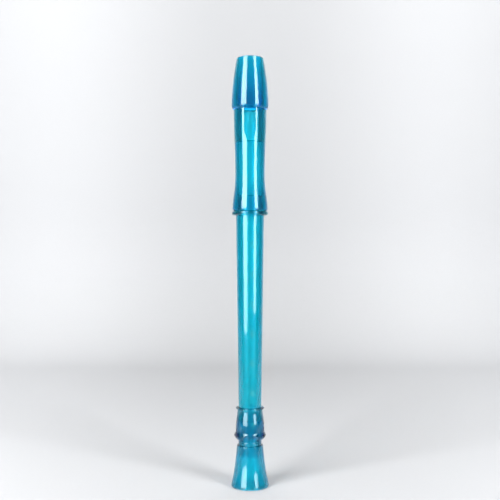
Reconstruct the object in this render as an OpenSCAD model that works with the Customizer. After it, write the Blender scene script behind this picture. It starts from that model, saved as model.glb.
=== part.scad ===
// Soprano recorder of clear coloured plastic, in three joints: head, body and foot.
// It stands on its bell, with the bore along Z. The window of the head faces -Y.

/* [Lengths] */
// Height of the bell, from its open end to the ledge under the collar
bell_h = 32; // [28:0.5:40]
// Height of the foot's collar
collar_h = 29; // [28:0.5:36]
// Length of the body that shows between the foot and the head
body_l = 147.5; // [144:0.5:170]
// Length of the head's barrel with its socket ring
barrel_l = 81.5; // [78:0.5:95]
// Length of the beak
beak_l = 40; // [38:0.5:46]

/* [Outside radii] */
// Bell at its widest
bell_r = 14.5; // [13.5:0.1:17]
// Bell at the ledge under the collar
ledge_r = 10; // [9.6:0.1:10.6]
// Neck between the bell and the collar
neck_r = 8.8; // [8.5:0.1:9.2]
// Sharp lower edge of the collar
collar_edge_r = 12.2; // [11.8:0.1:12.8]
// Collar at its belly, over the sharp edge
collar_belly_r = 11; // [10.7:0.1:11.3]
// Collar where it is narrow, just under its mouth
collar_waist_r = 9.5; // [9.3:0.1:9.9]
// Bead round the collar's mouth
collar_mouth_r = 10.9; // [10.6:0.1:11.2]
// Body at its lower end
body_low_r = 8.7; // [8.5:0.05:9]
// Body at its upper end
body_top_r = 10.8; // [10.2:0.05:11]
// Socket ring on the barrel
ring_r = 13.9; // [13.4:0.1:15]
// Lower flare of the barrel
flare_r = 13.7; // [13.2:0.1:14.5]
// Waist of the barrel
waist_r = 11.35; // [10.8:0.05:11.8]
// Barrel under the beak
barrel_top_r = 12.6; // [12.2:0.05:12.9]
// Beak at its base
beak_base_r = 14.3; // [13.9:0.1:14.9]
// Beak at its tip
beak_tip_r = 10.3; // [10:0.1:10.6]

/* [Bore and joints] */
// Bore radius at the foot end of the body
bore_low_r = 6.3; // [6.1:0.1:6.4]
// Bore radius at the head end of the body
bore_top_r = 7.9; // [7.4:0.1:8]
// Bore radius of the head
head_bore_r = 8.6; // [8.4:0.1:8.8]
// Radius of the body's upper tenon
head_tenon_r = 9.4; // [9.3:0.05:9.6]
// Length of the body's upper tenon
head_tenon_l = 14.5; // [12:0.5:18]
// Radius of the body's lower tenon
foot_tenon_r = 7.7; // [7.6:0.05:7.9]
// Length of the body's lower tenon
foot_tenon_l = 10; // [8:0.5:11]
// Gap between a tenon and its socket, on the radius
running_gap = 0.05; // [0.02:0.01:0.09]

/* [Windway and window] */
// Width of the windway
windway_w = 8.6; // [8:0.1:8.8]
// Height of the windway
windway_h = 1.4; // [1.2:0.1:1.6]
// Width of the window and of the sloping labium under it
window_w = 9; // [9:0.1:10]
// Distance from the beak to the edge of the labium
cut_up = 2.8; // [2.4:0.1:4]
// Rise of the arch that the window cuts into the beak
arch_rise = 1.1; // [0.5:0.1:1.5]
// Length of the labium's slope
labium_l = 23; // [18:0.5:24]
// Thickness of the beak at the lips
lip_t = 11; // [10:0.1:12]
// Radius of the hollow cut under the beak
under_cut_r = 55; // [48:1:60]

/* [Finger holes] */
// Distance from one finger hole to the next
hole_pitch = 23.1; // [22:0.1:23.6]
// Distance from the body's lower shoulder to its lowest hole
low_hole_up = 9.5; // [8:0.5:11]
// Diameter of the holes
hole_d = 5.4; // [4.4:0.1:6]
// Diameter of the two lowest holes
low_hole_d = 4.6; // [4:0.1:5]
// Height of the foot's hole over its ledge
foot_hole_up = 13; // [12:0.5:14]
// How far the body and foot are turned, from holes straight behind the window
body_turn = -19; // [-180:1:180]

/* [Hidden] */
$fn = 96;

steps = 24;            // straight pieces in a long curve of an outline
arc_steps = 8;         // and in a rounded edge
past = 1;              // how far a cutter runs past the face that it opens
press_gap = 0.03;      // gap where one piece is pressed into another
hole_count = 6;        // holes in the body; the foot has the seventh

// heights of the joints, from the bell's open end
collar_z = bell_h;
body_z = collar_z + collar_h;
ring_z = body_z + body_l;
beak_z = ring_z + barrel_l;
tip_z = beak_z + beak_l;

// foot
rim_r = 1.5;           // rounding of the bell's outer rim
bell_mouth_r = bell_r - 2.2;
spigot_l = 8;          // collar's spigot inside the bell
spigot_r = 7.6;
neck_l = 3.4;          // from the ledge up to the collar's undercut
bead_r = 0.6;          // bead round the neck
mouth_bead_r = 0.6;    // bead round the collar's mouth
collar_edge_z = collar_z + 7.5;
edge_t = 0.7;          // thickness of the collar's sharp edge
skirt_up = 3;          // the collar's side starts to flare this far over the edge
belly_up = 5.5;        // and is widest this far over it

// head
ring_h = 3.6;
ring_round = 1.6;
ring_lip = 0.9;        // thickness of the ring's lip under the barrel
ring_seat_r = 11.4;    // barrel's spigot inside the ring
flare_round = 1.6;
waist_z = ring_z + 32.5;
skirt_l = 25;          // block's skirt inside the barrel
skirt_r = 10;
skirt_open_w = 12.4;   // front opening of the skirt
lip_edge_y = 10.55;    // how far the labium's edge stands from the axis
beak_round = 1.9;      // rounded lip at the beak's base: how far it comes in
beak_lip_h = 3.2;      // and how high it reaches
tip_round = 0.9;
beak_bulge = 3.3;      // swell of the beak's sides
block_base_r = skirt_r;
block_tip_r = 8.4;
windway_base_y = 9.85; // floor of the windway at the beak's base
windway_tip_y = 7.3;   // and at its tip
windway_slope = atan((windway_base_y - windway_tip_y) / beak_l);
chamfer = 0.5;         // soft edge round the outside of each hole

function mix(a, b, t) = a + (b - a) * t;
function ease(a, b, t) = mix(a, b, (1 - cos(180 * t)) / 2);

// points of an arc in an outline, from one angle to another
function arc_points(x, y, r, from, to) = oval_points(x, y, r, r, from, to);

// the same for an oval of half width rx and half height ry
function oval_points(x, y, rx, ry, from, to) =
    [for (i = [0:arc_steps])
        let (a = mix(from, to, i / arc_steps))
        [x + rx * cos(a), y + ry * sin(a)]
    ];

// radius of the bell's outside, u = 0 at the ledge and 1 at the open end
function bell_outside(u) = ledge_r + (bell_r - ledge_r) * (0.6 * u + 0.4 * pow(u, 3));

// radius of the beak's outside, t = 0 at the tip and 1 at the base
function beak_outside(t) = mix(beak_tip_r, beak_base_r, t) + beak_bulge * t * (1 - t);

// radius of the body's outside at a height
function body_outside(z) = mix(body_low_r, body_top_r, (z - body_z) / body_l);

// radius of the barrel's outside at a height
function barrel_outside(z) = z > waist_z
    ? ease(waist_r, barrel_top_r, (z - waist_z) / (beak_z - waist_z))
    : ease(waist_r, flare_r, pow((waist_z - z) / (waist_z - ring_z - ring_h), 1.2));

// a ring of square section with its outer edges rounded
module rounded_ring(inner, outer, h, top_round, low_round) {
    rotate_extrude()
        union() {
            translate([inner, low_round])
                square([outer - inner, h - top_round - low_round]);
            translate([inner, 0])
                square([outer - inner - low_round, low_round]);
            translate([inner, h - top_round])
                square([outer - inner - top_round, top_round]);
            translate([outer - low_round, low_round])
                circle(r = low_round);
            translate([outer - top_round, h - top_round])
                circle(r = top_round);
        }
}

module bore(r1, r2, z1, z2) {
    translate([0, 0, z1])
        cylinder(r1 = r1, r2 = r2, h = z2 - z1);
}

// cutter for one finger hole, with a soft edge at the outside of the tube
module finger_hole(z, d, outside) {
    rotate([0, 0, 90 + body_turn])
        translate([0, 0, z])
            rotate([0, 90, 0])
                union() {
                    cylinder(d = d, h = outside + past);
                    translate([0, 0, outside - chamfer])
                        cylinder(r1 = d / 2, r2 = d / 2 + chamfer + past, h = chamfer + past);
                }
}

// slanting slot of the windway, from the window to the beak's tip
module windway_slot() {
    translate([0, -windway_base_y, beak_z])
        rotate([-windway_slope, 0, 0])
            translate([-windway_w / 2, -windway_h, -past])
                cube([windway_w, windway_h, beak_l + 3 * past]);
}

// hollow under the beak, where the lower lip goes
module under_cut() {
    translate([-beak_base_r - past, -beak_tip_r + lip_t + under_cut_r, tip_z])
        rotate([0, 90, 0])
            cylinder(r = under_cut_r, h = 2 * (beak_base_r + past));
}

// cutter for the window, open into the bore, and for the labium sloping down from its sharp edge
module window_cut() {
    lip_z = beak_z - cut_up;
    slope_depth = barrel_outside(lip_z - labium_l) - lip_edge_y;
    clear_y = -flare_r - past;
    translate([-window_w / 2, 0, 0])
        rotate([90, 0, 90])
            linear_extrude(height = window_w)
                polygon([
                    [-past, beak_z + past],
                    [-past, lip_z],
                    [-lip_edge_y, lip_z],
                    [-lip_edge_y - 1.2 * slope_depth, lip_z - 1.2 * labium_l],
                    [clear_y, lip_z - 1.2 * labium_l],
                    [clear_y, beak_z + past]
                ]);
}

module foot_bell() {
    flare_h = bell_h - rim_r;
    inside_h = bell_h - spigot_l;
    seat_r = spigot_r + running_gap;
    color([0.04, 0.65, 0.80, 0.75])
        difference() {
            union() {
                rotate_extrude()
                    polygon(concat(
                        [[0, rim_r], [0, bell_h]],
                        [for (i = [0:steps]) [bell_outside(i / steps), bell_h - flare_h * i / steps]]
                    ));
                rotate_extrude()
                    union() {
                        translate([bell_r - rim_r, rim_r])
                            circle(r = rim_r);
                        square([bell_r - rim_r, rim_r]);
                    }
            }
            // flared inside, down to the open end
            rotate_extrude()
                polygon(concat(
                    [[0, -past], [0, inside_h]],
                    [for (i = [0:steps]) [
                        mix(seat_r, bell_mouth_r, 0.85 * i / steps + 0.15 * pow(i / steps, 3)),
                        inside_h * (1 - i / steps)
                    ]],
                    [[bell_mouth_r, -past]]
                ));
            bore(seat_r, seat_r, inside_h - past, bell_h + past);
        }
}

module foot_collar() {
    socket_z = body_z - foot_tenon_l - 0.3;
    socket_r = foot_tenon_r + running_gap;
    swell_h = body_z - collar_edge_z - belly_up;
    color([0.02, 0.45, 0.62, 0.75])
        difference() {
            union() {
                // bead at the mouth, swelling side, sharp edge, then an undercut in to the neck
                rotate_extrude()
                    polygon(concat(
                        [[0, collar_z], [0, body_z]],
                        arc_points(collar_mouth_r - mouth_bead_r, body_z - mouth_bead_r,
                            mouth_bead_r, 90, -60),
                        [for (i = [3:steps]) [
                            ease(collar_waist_r, collar_belly_r, i / steps),
                            body_z - swell_h * i / steps
                        ]],
                        [for (i = [0:arc_steps]) [
                            mix(collar_belly_r, collar_edge_r, pow(i / arc_steps, 2)),
                            mix(collar_edge_z + skirt_up, collar_edge_z + edge_t, i / arc_steps)
                        ]],
                        [for (i = [0:arc_steps]) [
                            mix(collar_edge_r, neck_r, pow(i / arc_steps, 1.6)),
                            mix(collar_edge_z, collar_z + neck_l, i / arc_steps)
                        ]],
                        [[neck_r, collar_z]]
                    ));
                bore(spigot_r, spigot_r, collar_z - spigot_l, collar_z + past);
                rotate_extrude()
                    translate([neck_r - 0.3, collar_z + 0.6 * neck_l])
                        circle(r = bead_r);
            }
            bore(bore_low_r, bore_low_r, collar_z - spigot_l - past, socket_z + past);
            bore(socket_r, socket_r, socket_z, body_z + past);
            finger_hole(collar_z + foot_hole_up, low_hole_d, collar_belly_r);
        }
}

module body_tube() {
    low_z = body_z - foot_tenon_l;
    top_z = ring_z + head_tenon_l;
    color([0.05, 0.70, 0.84, 0.75])
        difference() {
            union() {
                bore(body_low_r, body_top_r, body_z, ring_z);
                bore(foot_tenon_r, foot_tenon_r, low_z, body_z + past);
                bore(head_tenon_r, head_tenon_r, ring_z - past, top_z);
            }
            bore(bore_low_r, bore_top_r, low_z, top_z);
            bore(bore_low_r, bore_low_r, low_z - past, low_z + past);
            bore(bore_top_r, bore_top_r, top_z - past, top_z + past);
            for (i = [0:hole_count - 1]) {
                z = body_z + low_hole_up + i * hole_pitch;
                finger_hole(z, i == 0 ? low_hole_d : hole_d, body_outside(z));
            }
        }
}

module socket_ring() {
    socket_r = head_tenon_r + running_gap;
    seat_r = ring_seat_r + running_gap;
    color([0.03, 0.40, 0.55, 0.75])
        difference() {
            translate([0, 0, ring_z])
                rounded_ring(0, ring_r, ring_h, ring_round, ring_round);
            bore(socket_r, socket_r, ring_z - past, ring_z + ring_h + past);
            bore(seat_r, seat_r, ring_z + ring_lip, ring_z + ring_h + past);
        }
}

module head_barrel() {
    flare_z = ring_z + ring_h;
    socket_r = head_tenon_r + running_gap;
    socket_top = ring_z + head_tenon_l + 0.3;
    color([0.04, 0.62, 0.82, 0.75])
        difference() {
            union() {
                rotate_extrude()
                    polygon(concat(
                        [[0, beak_z], [0, flare_z + flare_round]],
                        [for (i = [0:2 * steps])
                            let (z = mix(flare_z + flare_round, beak_z, i / (2 * steps)))
                            [barrel_outside(z), z]
                        ]
                    ));
                translate([0, 0, flare_z])
                    rounded_ring(0, barrel_outside(flare_z + flare_round), 2 * flare_round,
                        flare_round / 2, flare_round);
                bore(ring_seat_r, ring_seat_r, ring_z + ring_lip, flare_z + past);
            }
            bore(socket_r, socket_r, ring_z - past, socket_top);
            bore(head_bore_r, head_bore_r, ring_z, beak_z + past);
            bore(skirt_r + press_gap, skirt_r + press_gap, beak_z - skirt_l, beak_z + past);
            window_cut();
        }
}

module windway_block() {
    color([0.01, 0.42, 0.60, 0.75])
        difference() {
            union() {
                bore(block_base_r, block_tip_r, beak_z, tip_z);
                difference() {
                    bore(skirt_r, skirt_r, beak_z - skirt_l, beak_z);
                    bore(head_bore_r, head_bore_r, beak_z - skirt_l - past, beak_z);
                    translate([-skirt_open_w / 2, -2 * skirt_r, beak_z - skirt_l - past])
                        cube([skirt_open_w, 2 * skirt_r, skirt_l + past]);
                }
            }
            windway_slot();
            under_cut();
        }
}

module beak() {
    arch_r = (pow(window_w / 2, 2) + pow(arch_rise, 2)) / (2 * arch_rise);
    color([0.02, 0.50, 0.70, 0.75])
        difference() {
            rotate_extrude()
                polygon(concat(
                    [[0, tip_z], [0, beak_z]],
                    oval_points(beak_base_r - beak_round, beak_z + beak_lip_h, beak_round, beak_lip_h,
                        -90, 0),
                    [for (i = [1:steps - 1]) [
                        beak_outside(1 - i / steps),
                        mix(beak_z + beak_lip_h, tip_z - tip_round, i / steps)
                    ]],
                    arc_points(beak_tip_r - tip_round, tip_z - tip_round, tip_round, 0, 90)
                ));
            bore(block_base_r + press_gap, block_tip_r + press_gap, beak_z, tip_z);
            bore(block_base_r + press_gap, block_base_r + press_gap, beak_z - past, beak_z);
            bore(block_tip_r + press_gap, block_tip_r + press_gap, tip_z, tip_z + past);
            windway_slot();
            under_cut();
            // arch over the window
            translate([0, -windway_base_y - windway_h / 2, beak_z + arch_rise - arch_r])
                rotate([90, 0, 0])
                    cylinder(r = arch_r, h = beak_base_r);
        }
}

foot_bell();
foot_collar();
body_tube();
socket_ring();
head_barrel();
windway_block();
beak();
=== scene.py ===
# %% [markdown]
# # A soprano recorder in clear, tinted plastic
# The recorder is a stack of turned shapes: a bell, a collar, a long tube, a socket ring, a
# barrel and a beak, with a block hidden inside the beak. Clear plastic hides nothing, so every
# inside surface has to be right too: sockets, tenons, bores and the skirt of the block all
# show as darker or lighter bands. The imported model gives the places; this script makes each
# piece again as a smooth mesh with soft edges, and gives it a plastic that has depth.

# %% Load the frame
import math

import bmesh
import bpy
from mathutils import Matrix, Vector


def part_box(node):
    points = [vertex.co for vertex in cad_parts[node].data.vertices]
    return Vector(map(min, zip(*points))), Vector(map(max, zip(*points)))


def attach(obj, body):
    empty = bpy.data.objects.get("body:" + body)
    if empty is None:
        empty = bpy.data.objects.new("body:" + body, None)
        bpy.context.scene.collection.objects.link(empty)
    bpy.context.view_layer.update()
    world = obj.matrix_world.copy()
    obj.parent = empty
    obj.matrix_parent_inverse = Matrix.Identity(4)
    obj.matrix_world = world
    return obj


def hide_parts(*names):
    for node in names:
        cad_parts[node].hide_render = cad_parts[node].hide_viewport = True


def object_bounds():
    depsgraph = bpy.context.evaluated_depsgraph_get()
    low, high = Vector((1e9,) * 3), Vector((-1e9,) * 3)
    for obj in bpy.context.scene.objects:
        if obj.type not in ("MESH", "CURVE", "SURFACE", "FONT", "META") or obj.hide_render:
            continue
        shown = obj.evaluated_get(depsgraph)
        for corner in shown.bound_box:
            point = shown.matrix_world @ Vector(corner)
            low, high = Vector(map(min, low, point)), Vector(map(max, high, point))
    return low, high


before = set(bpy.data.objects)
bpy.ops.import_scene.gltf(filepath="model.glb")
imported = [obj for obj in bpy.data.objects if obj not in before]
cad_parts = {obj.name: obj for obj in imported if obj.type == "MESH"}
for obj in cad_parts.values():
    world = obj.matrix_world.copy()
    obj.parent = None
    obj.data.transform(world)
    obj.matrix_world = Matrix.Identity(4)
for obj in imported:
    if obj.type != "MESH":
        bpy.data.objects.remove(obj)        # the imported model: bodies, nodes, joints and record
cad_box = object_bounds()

MM = 0.001
print("frame box in mm:", [round(v / MM, 1) for corner in cad_box for v in corner])

# %% [markdown]
# ## Heights and radii
# The frame's boxes give where one piece ends and the next begins. Radii inside the tube walls
# are not on any box, so they are named here, in millimetres.

# %% Read the levels from the frame
def span(node):
    """Lowest and highest z of a node, and half its narrower width, in millimetres."""
    low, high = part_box(node)
    return low.z / MM, high.z / MM, min(-low.x, high.x, -low.y, high.y) / MM


_, ledge_z, bell_r = span("foot_bell")
spigot_z, collar_top_z, collar_edge_r = span("foot_collar")
tenon_low_z, tenon_top_z, body_top_r = span("body_tube")
ring_z, ring_top_z, ring_r = span("socket_ring")
skirt_z = span("windway_block")[0]
beak_z, tip_z, beak_base_r = span("beak")
print("levels in mm:", ledge_z, collar_top_z, ring_z, ring_top_z, beak_z, tip_z)

# %% [markdown]
# ## Turning a shape
# A turned piece is an outline swept round an axis. The outline is a short list of corners and
# curves; `soften` rounds each corner a little, because a moulded edge is never quite sharp and
# its small highlight is what makes plastic look solid. Every piece has the same number of
# sides, so a tenon's facets stay parallel to its socket's and the thin gap between them is
# even.

# %% Outline tools
SIDES = 160
SOFT_STEPS = 3


def arc(x, z, r, start, stop, tall=None, steps=8):
    """Points on an arc, from one angle to another in degrees; tall makes it an oval."""
    angles = [math.radians(start + (stop - start) * i / steps) for i in range(steps + 1)]
    return [(x + r * math.cos(a), z + (tall or r) * math.sin(a)) for a in angles]


def curve(radius_at, start, stop, steps):
    """Points along a side whose radius is a function of height."""
    heights = [start + (stop - start) * i / steps for i in range(steps + 1)]
    return [(radius_at(z), z) for z in heights]


def soften(outline, size, least_turn=25):
    """Rounds the corners that turn by more than least_turn degrees."""
    made = []
    count = len(outline)
    for i, (x, z) in enumerate(outline):
        here = Vector((x, z))
        before = Vector(outline[i - 1]) - here
        after = Vector(outline[(i + 1) % count]) - here
        turn = 180 - math.degrees(before.angle(after))
        if turn < least_turn or x < 1e-6:
            made.append((x, z))
            continue
        reach = min(size, before.length * 0.45, after.length * 0.45)
        a = here + before.normalized() * reach
        b = here + after.normalized() * reach
        for k in range(SOFT_STEPS + 1):
            t = k / SOFT_STEPS
            p = a * (1 - t) ** 2 + here * 2 * t * (1 - t) + b * t * t
            made.append((p.x, p.y))
    return made


def even(outline, longest):
    """Splits long straight stretches, so that no face is much longer than it is wide."""
    made = []
    for i, point in enumerate(outline):
        here, there = Vector(point), Vector(outline[(i + 1) % len(outline)])
        parts = max(1, math.ceil((there - here).length / longest))
        if here.x < 1e-6 and there.x < 1e-6:
            parts = 1
        made += [tuple(here.lerp(there, k / parts)) for k in range(parts)]
    return made


# %% Sweep an outline round the Z axis
def as_object(name, bm):
    """Makes an object in the scene from a bmesh, and frees the bmesh."""
    mesh = bpy.data.meshes.new(name)
    bm.to_mesh(mesh)
    bm.free()
    made = bpy.data.objects.new(name, mesh)
    bpy.context.scene.collection.objects.link(made)
    return made


def turned(name, outline):
    """A closed solid from a closed outline of (radius, height) in millimetres."""
    bm = bmesh.new()
    rings = []
    for x, z in outline:
        if x < 1e-6:
            rings.append([bm.verts.new((0, 0, z * MM))] * SIDES)
            continue
        turns = [2 * math.pi * k / SIDES for k in range(SIDES)]
        around = [(x * math.cos(a) * MM, x * math.sin(a) * MM, z * MM) for a in turns]
        rings.append([bm.verts.new(point) for point in around])
    for i, ring in enumerate(rings):
        following = rings[(i + 1) % len(rings)]
        for k in range(SIDES):
            corners = [ring[k - 1], ring[k], following[k], following[k - 1]]
            corners = list(dict.fromkeys(corners))
            if len(corners) > 2:
                bm.faces.new(corners)
    bmesh.ops.recalc_face_normals(bm, faces=bm.faces)
    return as_object(name, bm)


def moulded(name, outline, edge, longest_face=1.6):
    """A turned piece with its edges softened, in millimetres."""
    return turned(name, even(soften(outline, edge), longest_face))


def block_of(name, low, high):
    """A box cutter between two corners, in millimetres."""
    bm = bmesh.new()
    bmesh.ops.create_cube(bm, size=1)
    size = Vector(high) - Vector(low)
    middle = (Vector(high) + Vector(low)) / 2
    bmesh.ops.scale(bm, vec=size * MM, verts=bm.verts)
    bmesh.ops.translate(bm, vec=middle * MM, verts=bm.verts)
    return as_object(name, bm)


def move(piece, matrix):
    """Moves the mesh itself, so that the object stays at the origin."""
    piece.data.transform(matrix)
    return piece


# %% [markdown]
# ## Cutting and finishing
# Holes and the window are cut with Blender's exact Boolean, as a drill or a mould core would
# make them. Faces that meet at a shallow angle are then shaded as one surface, and steeper
# ones keep a crisp line.

# %% Boolean cuts and shading
CREASE = math.radians(32)


def cut(piece, *cutters):
    """Takes the cutters away from the piece and throws them away."""
    for cutter in cutters:
        step = piece.modifiers.new("cut", "BOOLEAN")
        step.operation = "DIFFERENCE"
        step.solver = "EXACT"
        step.object = cutter
    view = bpy.context.evaluated_depsgraph_get()
    mesh = bpy.data.meshes.new_from_object(piece.evaluated_get(view), depsgraph=view)
    piece.modifiers.clear()
    piece.data = mesh
    for cutter in cutters:
        bpy.data.objects.remove(cutter)
    return piece


def mark_core_side(mesh):
    """Marks the faces that a steel core made: those that look at the axis."""
    looks_in = [p.center.x * p.normal.x + p.center.y * p.normal.y < -0.4 * p.center.xy.length
                for p in mesh.polygons]
    mark = mesh.attributes.new("core_side", "FLOAT", "FACE")
    mark.data.foreach_set("value", [float(inside) for inside in looks_in])


def finish(piece, body, node, material):
    """Shades the piece, gives it its plastic and ties it to the frame."""
    mesh = piece.data
    mark_core_side(mesh)
    mesh.polygons.foreach_set("use_smooth", [True] * len(mesh.polygons))
    mesh.set_sharp_from_angle(angle=CREASE)
    mesh.materials.clear()
    mesh.materials.append(material)
    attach(piece, body)
    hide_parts(node)
    print(piece.name, "faces:", len(mesh.polygons))


# %% [markdown]
# ## The plastic
# Clear recorders for children are moulded in a plastic such as polystyrene, with a little dye
# in the melt. The steel of the mould is polished, so the outside is glossy, and what dulls it is
# handling: fine scuffs and the marks of a thumb. The dye has depth, so a single wall is bright
# turquoise and a double wall or a solid block is deep blue. That depth is absorption inside
# the solid, and not paint on its surface. Polystyrene bends light more than glass does, with
# an IOR of 1.59, which gives the strong bright and dark bands along the tube.

# %% Colour and node helpers
def linear(hex_colour):
    """An sRGB hex colour as linear RGBA."""
    values = [int(hex_colour[i:i + 2], 16) / 255 for i in (1, 3, 5)]
    return [v / 12.92 if v <= 0.04045 else ((v + 0.055) / 1.055) ** 2.4 for v in values] + [1.0]


def node(tree, kind, links=None, **settings):
    """Adds a node, sets its fields or sockets (From_Min means From Min), and links its inputs."""
    made = tree.nodes.new(kind)
    for key, value in settings.items():
        name = key.replace("_", " ")
        if hasattr(made, key):
            setattr(made, key, value)
        else:
            made.inputs[name].default_value = value
    for name, source in (links or {}).items():
        tree.links.new(source, made.inputs[name])
    return made


# %% Tinted polystyrene
POLYSTYRENE_IOR = 1.59
POLISHED = 0.03               # roughness of the outside, from polished steel
SCUFFED = 0.13                # and where it is scuffed
CORE_ROUGHNESS = 0.32         # the cores that form the bores are not polished like the outside
GLOSS_TINT = "#e2fbff"        # real gloss is neutral; a trace of cyan ties it to the dye
FLOW_SIZE = 30 * MM           # waves in the wall where the melt slowed down
SCUFF_SIZE = 2.4 * MM         # scuffs are finer than this; drawn coarser so that they show
DYE_DEPTH = 10                # millimetres of plastic after which white light has the dye's hex


def tinted_polystyrene(name, clear_hex):
    """Clear plastic that takes white light to clear_hex after DYE_DEPTH."""
    material = bpy.data.materials.new(name)
    material.use_nodes = True
    tree = material.node_tree
    tree.nodes.clear()
    place = node(tree, "ShaderNodeTexCoord").outputs["Object"]
    flow = node(tree, "ShaderNodeTexNoise", {"Vector": place}, Scale=1 / FLOW_SIZE, Detail=2.0)
    scuff = node(tree, "ShaderNodeTexNoise", {"Vector": place}, Scale=1 / SCUFF_SIZE, Detail=6.0,
                 Roughness=0.7)
    haze = node(tree, "ShaderNodeMapRange", {"Value": scuff.outputs["Fac"]},
                From_Min=0.5, From_Max=0.78, To_Min=POLISHED, To_Max=SCUFFED)
    core = node(tree, "ShaderNodeAttribute", attribute_name="core_side")
    rough = node(tree, "ShaderNodeMapRange",
                 {"Value": core.outputs["Fac"], "To Min": haze.outputs["Result"]}, To_Max=CORE_ROUGHNESS)
    tint = node(tree, "ShaderNodeMix", {"Factor": flow.outputs["Fac"]}, data_type="RGBA",
                A=linear("#e8fcff"), B=linear("#fafeff"))
    waves = node(tree, "ShaderNodeBump", {"Height": flow.outputs["Fac"]}, Strength=0.08,
                 Distance=0.3 * MM)
    marks = node(tree, "ShaderNodeBump",
                 {"Height": scuff.outputs["Fac"], "Normal": waves.outputs["Normal"]},
                 Strength=0.05, Distance=0.05 * MM)
    shader = node(tree, "ShaderNodeBsdfPrincipled",
                  {"Base Color": tint.outputs["Result"], "Roughness": rough.outputs["Result"],
                   "Normal": marks.outputs["Normal"]})
    shader.inputs["IOR"].default_value = POLYSTYRENE_IOR
    shader.inputs["Specular Tint"].default_value = linear(GLOSS_TINT)
    shader.inputs["Transmission Weight"].default_value = 1.0
    # Blender takes off density * (1 - colour) a metre, so the strongest channel sets the density
    taken = [-math.log(max(c, 1e-4)) / (DYE_DEPTH * MM) for c in linear(clear_hex)[:3]]
    density = max(taken)
    dye = node(tree, "ShaderNodeVolumeAbsorption")
    dye.inputs["Density"].default_value = density
    dye.inputs["Color"].default_value = [1 - t / density for t in taken] + [1.0]
    node(tree, "ShaderNodeOutputMaterial",
         {"Surface": shader.outputs["BSDF"], "Volume": dye.outputs["Volume"]})
    print(name, "absorbs per mm:", [round(t * MM, 3) for t in taken])
    return material


# Inner walls are guesses, so each piece's dye is set for the depth of colour that it shows
head_plastic = tinted_polystyrene("polystyrene_head", "#00b2de")
beak_plastic = tinted_polystyrene("polystyrene_beak", "#00bbe2")
body_plastic = tinted_polystyrene("polystyrene_body", "#00bae0")
foot_plastic = tinted_polystyrene("polystyrene_foot", "#00aee0")
ring_plastic = tinted_polystyrene("polystyrene_ring", "#00849c")
collar_plastic = tinted_polystyrene("polystyrene_collar", "#0098c2")

# %% [markdown]
# ## The foot's bell
# The bell is one thin moulding, nearly a cone, that flares a little more towards its rim. The
# rim is fully rounded, because it is what the instrument stands on and what small hands
# grab. Inside, the wall follows the outside down to the open end.

# %% Make the bell
SEAT_GAP = 0.06               # keeps faces that touch from lying in the same plane
bore_low_r = 6.3
spigot_r = 7.6
running_gap = 0.05
ledge_r = 10.0
rim_round = 1.5
bell_mouth_r = bell_r - 2.2


def flare(u):
    """0 at the top of the bell and 1 at its rim: a cone with a growing flare."""
    return 0.6 * u + 0.4 * u ** 3


def bell_outside(z):
    return ledge_r + (bell_r - ledge_r) * flare((ledge_z - z) / (ledge_z - rim_round))


def bell_inside(z):
    seat = spigot_r + running_gap
    t = 1 - z / spigot_z
    return seat + (bell_mouth_r - seat) * (0.85 * t + 0.15 * t ** 3)


bell_outline = (
    curve(bell_outside, ledge_z, rim_round, 30)
    + arc(bell_r - rim_round, rim_round, rim_round, 0, -90)[1:]
    + curve(bell_inside, 0, spigot_z, 24)
    + [(spigot_r + running_gap, ledge_z)]
)
bell = moulded("bell", bell_outline, edge=0.3)
finish(bell, "foot", "foot_bell", foot_plastic)

# %% [markdown]
# ## The foot's collar
# The collar swells from its mouth down to a sharp edge, turns in under that edge to a narrow
# neck with a bead, and ends in a spigot inside the bell. Its wall is thick, so it is
# the darkest part of the foot. It has the lowest finger hole.

# %% A tool for finger holes
body_turn = math.radians(-19)  # the body and foot are turned, so that the holes face away
HOLE_EDGE = 0.7


def finger_hole(z, diameter, outside):
    """A drill whose shank widens at the surface in a quarter round, for a soft edge."""
    r = diameter / 2
    outline = [(0, 0), (r, 0)]
    outline += arc(r + HOLE_EDGE, outside - HOLE_EDGE, HOLE_EDGE, 180, 90)
    outline += [(r + HOLE_EDGE + 2, outside), (r + HOLE_EDGE + 2, outside + 3), (0, outside + 3)]
    drill = turned("drill", outline)
    drill.data.transform(Matrix.Rotation(math.radians(90), 4, "Y"))
    drill.data.transform(Matrix.Rotation(math.radians(90) + body_turn, 4, "Z"))
    drill.data.transform(Matrix.Translation((0, 0, z * MM)))
    return drill


# %% Make the collar
neck_r = 8.8
neck_z = ledge_z + 3.4
bead_r = 0.6
collar_mouth_r = 10.9
collar_waist_r = 9.5
collar_belly_r = 11.0
mouth_bead_r = 0.6
collar_edge_z = ledge_z + 7.5
edge_t = 0.7
skirt_up = 3.0
belly_up = 5.5
foot_tenon_r = 7.7
foot_socket_z = tenon_low_z - 0.3
foot_hole_z = ledge_z + 13
low_hole_d = 4.6


def ease(a, b, t):
    return a + (b - a) * (1 - math.cos(math.pi * t)) / 2


def collar_outside(z):
    swell_h = collar_top_z - collar_edge_z - belly_up
    return ease(collar_waist_r, collar_belly_r, (collar_top_z - z) / swell_h)


def collar_skirt(z):
    t = (collar_edge_z + skirt_up - z) / (skirt_up - edge_t)
    return collar_belly_r + (collar_edge_r - collar_belly_r) * t ** 2


def undercut(z):
    t = (collar_edge_z - z) / (collar_edge_z - neck_z)
    return collar_edge_r - (collar_edge_r - neck_r) * t ** 1.6


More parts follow.
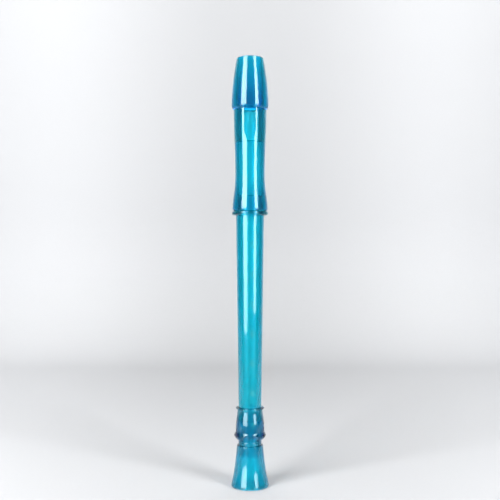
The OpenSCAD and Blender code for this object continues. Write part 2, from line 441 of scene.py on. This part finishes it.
bead_z = ledge_z + 0.6 * (neck_z - ledge_z)
mouth_z = collar_top_z - mouth_bead_r
collar_outline = (
    [(bore_low_r, spigot_z + SEAT_GAP), (spigot_r, spigot_z + SEAT_GAP), (spigot_r, ledge_z + SEAT_GAP)]
    + [(neck_r, ledge_z + SEAT_GAP)]
    + arc(neck_r - 0.3, bead_z, bead_r, -65, 65)
    + curve(undercut, neck_z, collar_edge_z, 8)
    + curve(collar_skirt, collar_edge_z + edge_t, collar_edge_z + skirt_up, 8)
    + curve(collar_outside, collar_edge_z + belly_up, mouth_z - 2 * mouth_bead_r, 20)
    + arc(collar_mouth_r - mouth_bead_r, mouth_z, mouth_bead_r, -60, 90)
    + [(foot_tenon_r + running_gap, collar_top_z), (foot_tenon_r + running_gap, foot_socket_z)]
    + [(bore_low_r, foot_socket_z)]
)
collar = moulded("collar", collar_outline, edge=0.25)
cut(collar, finger_hole(foot_hole_z, low_hole_d, collar_belly_r))
finish(collar, "collar", "foot_collar", collar_plastic)

# %% [markdown]
# ## The body
# The body is a long tube that narrows towards the foot, outside and inside. Each end is
# stepped down to a tenon that goes into the next joint. The six finger holes are spaced for a
# child's hand; their edges are soft, so that a finger seals them.

# %% Make the body tube
bore_top_r = 7.9
body_low_r = 8.7
head_tenon_r = 9.4
hole_pitch = 23.1
hole_d = 5.4
hole_count = 6
low_hole_z = collar_top_z + 9.5


def body_outside(z):
    return body_low_r + (body_top_r - body_low_r) * (z - collar_top_z) / (ring_z - collar_top_z)


body_outline = [
    (bore_low_r, tenon_low_z), (foot_tenon_r, tenon_low_z), (foot_tenon_r, collar_top_z + SEAT_GAP),
    (body_low_r, collar_top_z + SEAT_GAP), (body_top_r, ring_z - SEAT_GAP),
    (head_tenon_r, ring_z - SEAT_GAP), (head_tenon_r, tenon_top_z), (bore_top_r, tenon_top_z),
]
body = moulded("body_tube_shell", body_outline, edge=0.3, longest_face=2.0)
drills = []
for i in range(hole_count):
    z = low_hole_z + i * hole_pitch
    drills.append(finger_hole(z, low_hole_d if i == 0 else hole_d, body_outside(z)))
cut(body, *drills)
finish(body, "body", "body_tube", body_plastic)

# %% [markdown]
# ## The socket ring and the barrel
# The ring is a rounded bead at the mouth of the head's socket. It stiffens the thin wall where
# the tenon is pushed in. The barrel over it has a waist for the hand, and at its top, on the
# front, the window with the sloping labium that the air is blown against.

# %% Make the socket ring
ring_round = 1.6
ring_lip = 0.9
ring_seat_r = 11.4
socket_r = head_tenon_r + running_gap
ring_outline = (
    [(socket_r, ring_z)]
    + arc(ring_r - ring_round, ring_z + ring_round, ring_round, -90, 0)
    + arc(ring_r - ring_round, ring_top_z - ring_round - SEAT_GAP, ring_round, 0, 90)
    + [(ring_seat_r + running_gap, ring_top_z - SEAT_GAP), (ring_seat_r + running_gap, ring_z + ring_lip)]
    + [(socket_r, ring_z + ring_lip)]
)
ring = moulded("bead_ring", ring_outline, edge=0.2, longest_face=1.2)
finish(ring, "ring", "socket_ring", ring_plastic)

# %% Make the barrel
flare_r = 13.7
waist_r = 11.35
barrel_top_r = 12.6
flare_round = 1.6
waist_z = ring_z + 32.5
head_bore_r = 8.6
head_socket_z = tenon_top_z + 0.3
skirt_r = 10
window_w = 9
lip_z = beak_z - 2.8
lip_edge_y = 10.55
labium_l = 23


def barrel_outside(z):
    if z > waist_z:
        return ease(waist_r, barrel_top_r, (z - waist_z) / (beak_z - waist_z))
    return ease(waist_r, flare_r, ((waist_z - z) / (waist_z - ring_top_z)) ** 1.2)


flare_low_z = ring_top_z + flare_round
barrel_outline = (
    [(socket_r, ring_z + ring_lip + SEAT_GAP), (ring_seat_r, ring_z + ring_lip + SEAT_GAP)]
    + [(ring_seat_r, ring_top_z)]
    + arc(barrel_outside(flare_low_z) - flare_round, flare_low_z, flare_round, -90, 0)
    + curve(barrel_outside, flare_low_z, beak_z, 60)[1:]
    + [(skirt_r + 0.03, beak_z), (skirt_r + 0.03, skirt_z), (head_bore_r, skirt_z)]
    + [(head_bore_r, head_socket_z), (socket_r, head_socket_z)]
)
barrel = moulded("barrel", barrel_outline, edge=0.2)
window = block_of("window", (-window_w / 2, -barrel_top_r - 1, lip_z),
                  (window_w / 2, -1, beak_z + 1))
labium_slope = math.atan((barrel_outside(lip_z - labium_l) - lip_edge_y) / labium_l)
labium = block_of("labium", (-window_w / 2, -window_w, -1.2 * labium_l), (window_w / 2, 0, 1))
lean = Matrix.Rotation(-labium_slope, 4, "X")
move(labium, Matrix.Translation(Vector((0, -lip_edge_y, lip_z)) * MM) @ lean)
cut(barrel, window, labium)
finish(barrel, "head", "head_barrel", head_plastic)

# %% [markdown]
# ## The block and the beak
# The block is a solid plug that fills the beak and leaves only the windway, a flat slot along
# its front. Its skirt goes down inside the barrel and holds the two together. The beak is the
# shell over it. Both are cut away behind in one long hollow, where the lower lip goes.

# %% Cutters that the block and the beak share
block_tip_r = 8.4
windway_w = 8.6
windway_h = 1.4
windway_base_y = 9.85
windway_tip_y = 7.3
beak_tip_r = 10.3
lip_t = 11
under_cut_r = 55
beak_l = tip_z - beak_z
windway_slope = math.atan((windway_base_y - windway_tip_y) / beak_l)


def windway(width):
    slot = block_of("windway", (-width / 2, -windway_h, -1), (width / 2, 0, beak_l + 3))
    lean = Matrix.Rotation(-windway_slope, 4, "X")
    return move(slot, Matrix.Translation(Vector((0, -windway_base_y, beak_z)) * MM) @ lean)


def under_cut():
    reach = beak_base_r + 1
    hollow = turned("hollow", [(0, -reach), (under_cut_r, -reach), (under_cut_r, reach), (0, reach)])
    move(hollow, Matrix.Rotation(math.radians(90), 4, "Y"))
    return move(hollow, Matrix.Translation(Vector((0, -beak_tip_r + lip_t + under_cut_r, tip_z)) * MM))


# %% Make the windway block
skirt_open_w = 12.4
block_outline = [
    (0, beak_z), (head_bore_r, beak_z), (head_bore_r, skirt_z + SEAT_GAP), (skirt_r, skirt_z + SEAT_GAP),
    (skirt_r, beak_z), (block_tip_r, tip_z), (0, tip_z),
]
block = moulded("block", block_outline, edge=0.2)
opening = block_of("opening", (-skirt_open_w / 2, -2 * skirt_r, skirt_z - 1),
                   (skirt_open_w / 2, 0, beak_z))
cut(block, opening, windway(windway_w), under_cut())
finish(block, "head", "windway_block", beak_plastic)

# %% Make the beak
beak_round = 1.9
beak_lip_h = 3.2
tip_round = 0.9
beak_bulge = 3.3
arch_rise = 1.1


def beak_outside(z):
    t = (tip_z - tip_round - z) / (tip_z - tip_round - beak_z - beak_lip_h)
    return beak_tip_r + (beak_base_r - beak_tip_r) * t + beak_bulge * t * (1 - t)


beak_outline = (
    [(skirt_r + 0.03, beak_z + SEAT_GAP)]
    + arc(beak_base_r - beak_round, beak_z + SEAT_GAP + beak_lip_h, beak_round, -90, 0, beak_lip_h)
    + curve(beak_outside, beak_z + SEAT_GAP + beak_lip_h, tip_z - tip_round, 30)[1:]
    + arc(beak_tip_r - tip_round, tip_z - tip_round, tip_round, 0, 90)[1:]
    + [(block_tip_r + 0.03, tip_z)]
)
beak = moulded("beak_shell", beak_outline, edge=0.2)
arch_r = ((window_w / 2) ** 2 + arch_rise ** 2) / (2 * arch_rise)
arch = turned("arch", [(0, 0), (arch_r, 0), (arch_r, beak_base_r), (0, beak_base_r)])
move(arch, Matrix.Rotation(math.radians(90), 4, "X"))
arch_start_y = -windway_base_y - windway_h / 2
move(arch, Matrix.Translation(Vector((0, arch_start_y, beak_z + arch_rise - arch_r)) * MM))
cut(beak, windway(windway_w), under_cut(), arch)
finish(beak, "head", "beak", beak_plastic)

# %% [markdown]
# ## Floor and backdrop
# The stage is one sheet of pale card that curves up behind the recorder, as on a studio table,
# so that no horizon line shows through the clear plastic.

# %% Make the stage
def studio_card():
    """Pale card with a faint tooth and painted shade in front of and behind the recorder; the tooth is
    drawn coarser than real card so that it shows.
    """
    material = bpy.data.materials.new("studio_card")
    material.use_nodes = True
    tree = material.node_tree
    shader = tree.nodes["Principled BSDF"]
    shader.inputs["Roughness"].default_value = 0.9
    place = node(tree, "ShaderNodeTexCoord").outputs["Object"]
    tooth = node(tree, "ShaderNodeTexNoise", {"Vector": place}, Scale=1 / (3 * MM), Detail=4.0)
    tone = node(tree, "ShaderNodeMix", {"Factor": tooth.outputs["Fac"]}, data_type="RGBA",
                A=linear("#b9babc"), B=linear("#bdbec0"))
    spot = node(tree, "ShaderNodeSeparateXYZ", {"Vector": place})
    # Painted shade: in front of the recorder the card is dark to every ray but the camera's, so the lower
    # tube mirrors dark and keeps its depth
    painted_dark_front = node(tree, "ShaderNodeMapRange", {"Value": spot.outputs["Y"]},
                 interpolation_type="SMOOTHSTEP", From_Min=-0.22, From_Max=-0.03)
    seen = node(tree, "ShaderNodeLightPath").outputs["Is Camera Ray"]
    pale = node(tree, "ShaderNodeMath", {0: painted_dark_front.outputs["Result"], 1: seen}, operation="MAXIMUM")
    card_with_painted_dark = node(tree, "ShaderNodeMix",
                  {"Factor": pale.outputs["Value"], "B": tone.outputs["Result"]},
                  data_type="RGBA", A=linear("#3c3d3f"))
    # Painted shade: the card is darker straight behind the recorder and paler to the sides, where the
    # tube's edges bend the view
    aside = node(tree, "ShaderNodeMath", {0: spot.outputs["X"]}, operation="ABSOLUTE")
    sides = node(tree, "ShaderNodeMapRange", {"Value": aside.outputs["Value"]},
                 interpolation_type="SMOOTHSTEP",
                 From_Min=0.03, From_Max=0.4, To_Min=0.85, To_Max=1.12)
    shaded = node(tree, "ShaderNodeMix",
                  {"A": card_with_painted_dark.outputs["Result"], "B": sides.outputs["Result"]},
                  data_type="RGBA", blend_type="MULTIPLY", Factor=1.0)
    tree.links.new(shaded.outputs["Result"], shader.inputs["Base Color"])
    return material


sweep_r = 0.25
back_y = 0.9
near_y = -0.75
half_w = 1.6
back_h = 1.6
sweep = [(near_y, 0.0)]
sweep += arc(back_y - sweep_r, sweep_r, sweep_r, -90, 0, steps=16)
sweep += [(back_y, back_h)]
bm = bmesh.new()
left = [bm.verts.new((-half_w, y, z)) for y, z in sweep]
right = [bm.verts.new((half_w, y, z)) for y, z in sweep]
for i in range(len(sweep) - 1):
    bm.faces.new((left[i], right[i], right[i + 1], left[i + 1]))
card = as_object("card", bm)
card.data.polygons.foreach_set("use_smooth", [True] * len(card.data.polygons))
card.data.materials.append(studio_card())
print("stage depth in m:", back_y - near_y)

# %% [markdown]
# ## Light
# Clear plastic shows its shape by what it mirrors. Two tall soft boxes stand in front, one on
# each side, and each draws one clean white stripe down the instrument. They reach well over
# the recorder, so that the leaning sides of the beak mirror them too, and they end just over
# the floor, so the stripes fade on the lower body. A wide lamp over the backdrop keeps the card
# pale. The world is pale where the camera sees it, and dim as a source of light, so that the
# plastic keeps its dark edges.

# %% Make the soft boxes
def panel_glow(name, low, high, dim, bright):
    """A cloth that glows more towards its top, where the lamp inside hangs."""
    material = bpy.data.materials.new(name)
    material.use_nodes = True
    tree = material.node_tree
    tree.nodes.clear()
    place = node(tree, "ShaderNodeNewGeometry").outputs["Position"]
    up = node(tree, "ShaderNodeSeparateXYZ", {"Vector": place}).outputs["Z"]
    rise = node(tree, "ShaderNodeMapRange", {"Value": up},
                From_Min=low, From_Max=high, To_Min=dim, To_Max=bright)
    glow = node(tree, "ShaderNodeEmission", {"Strength": rise.outputs["Result"]})
    node(tree, "ShaderNodeOutputMaterial", {"Surface": glow.outputs["Emission"]})
    return material


def soft_box(name, azimuth, wide_angle, distance, low, high, material):
    """A tall glowing panel at an angle from the camera's side of the recorder."""
    half = distance * math.tan(math.radians(wide_angle / 2))
    mesh = bpy.data.meshes.new(name)
    corners = [(half, 0, low), (-half, 0, low), (-half, 0, high), (half, 0, high)]
    mesh.from_pydata(corners, [], [(0, 1, 2, 3)])
    mesh.materials.append(material)
    box = bpy.data.objects.new(name, mesh)
    turn = math.radians(azimuth)
    box.location = (distance * math.sin(turn), -distance * math.cos(turn), 0)
    box.rotation_euler = (0, 0, turn)
    box.visible_camera = False
    bpy.context.scene.collection.objects.link(box)


panel_distance = 0.9
panel_top = 1.3
cloth = panel_glow("soft_box_cloth", 0.0, 0.42, 8.0, 14.0)
soft_box("soft_box_left", -40, 34, panel_distance, 0.004, panel_top, cloth)
soft_box("soft_box_right", 43, 21, panel_distance, 0.04, panel_top, cloth)

# %% Light the backdrop and the world
lamp = bpy.data.lights.new("top_light", "AREA")
lamp.shape = "RECTANGLE"
lamp.size = 1.4
lamp.size_y = 0.9
lamp.energy = 8
top_light = bpy.data.objects.new("top_light", lamp)
top_light.location = (0, 0.62, 1.25)
top_light.visible_camera = False
bpy.context.scene.collection.objects.link(top_light)

WORLD_LIGHT = 0.14
WORLD_SEEN = 0.9
world = bpy.data.worlds.new("studio")
world.use_nodes = True
tree = world.node_tree
background = tree.nodes["Background"]
background.inputs["Color"].default_value = linear("#eef2f5")
seen = node(tree, "ShaderNodeLightPath").outputs["Is Camera Ray"]
strength = node(tree, "ShaderNodeMapRange", {"Value": seen}, To_Min=WORLD_LIGHT, To_Max=WORLD_SEEN)
tree.links.new(strength.outputs["Result"], background.inputs["Strength"])
bpy.context.scene.world = world
bpy.context.scene.view_settings.view_transform = "Standard"

# %% [markdown]
# ## Camera
# The camera looks straight and level at the front from about two thirds of a metre, a little
# over half way up, so the bell's rim is seen from above and the beak from below.

# %% Make the camera
camera_distance = 0.644
camera_height = 0.5515 * cad_box[1].z
camera = bpy.data.cameras.new("camera")
camera.lens = 60.1
camera.sensor_width = 36
eye = bpy.data.objects.new("camera", camera)
eye.location = (0, -camera_distance, camera_height)
eye.rotation_euler = (math.radians(90), 0, 0)
bpy.context.scene.collection.objects.link(eye)
bpy.context.scene.camera = eye
print("camera height in mm:", round(camera_height / MM, 1))
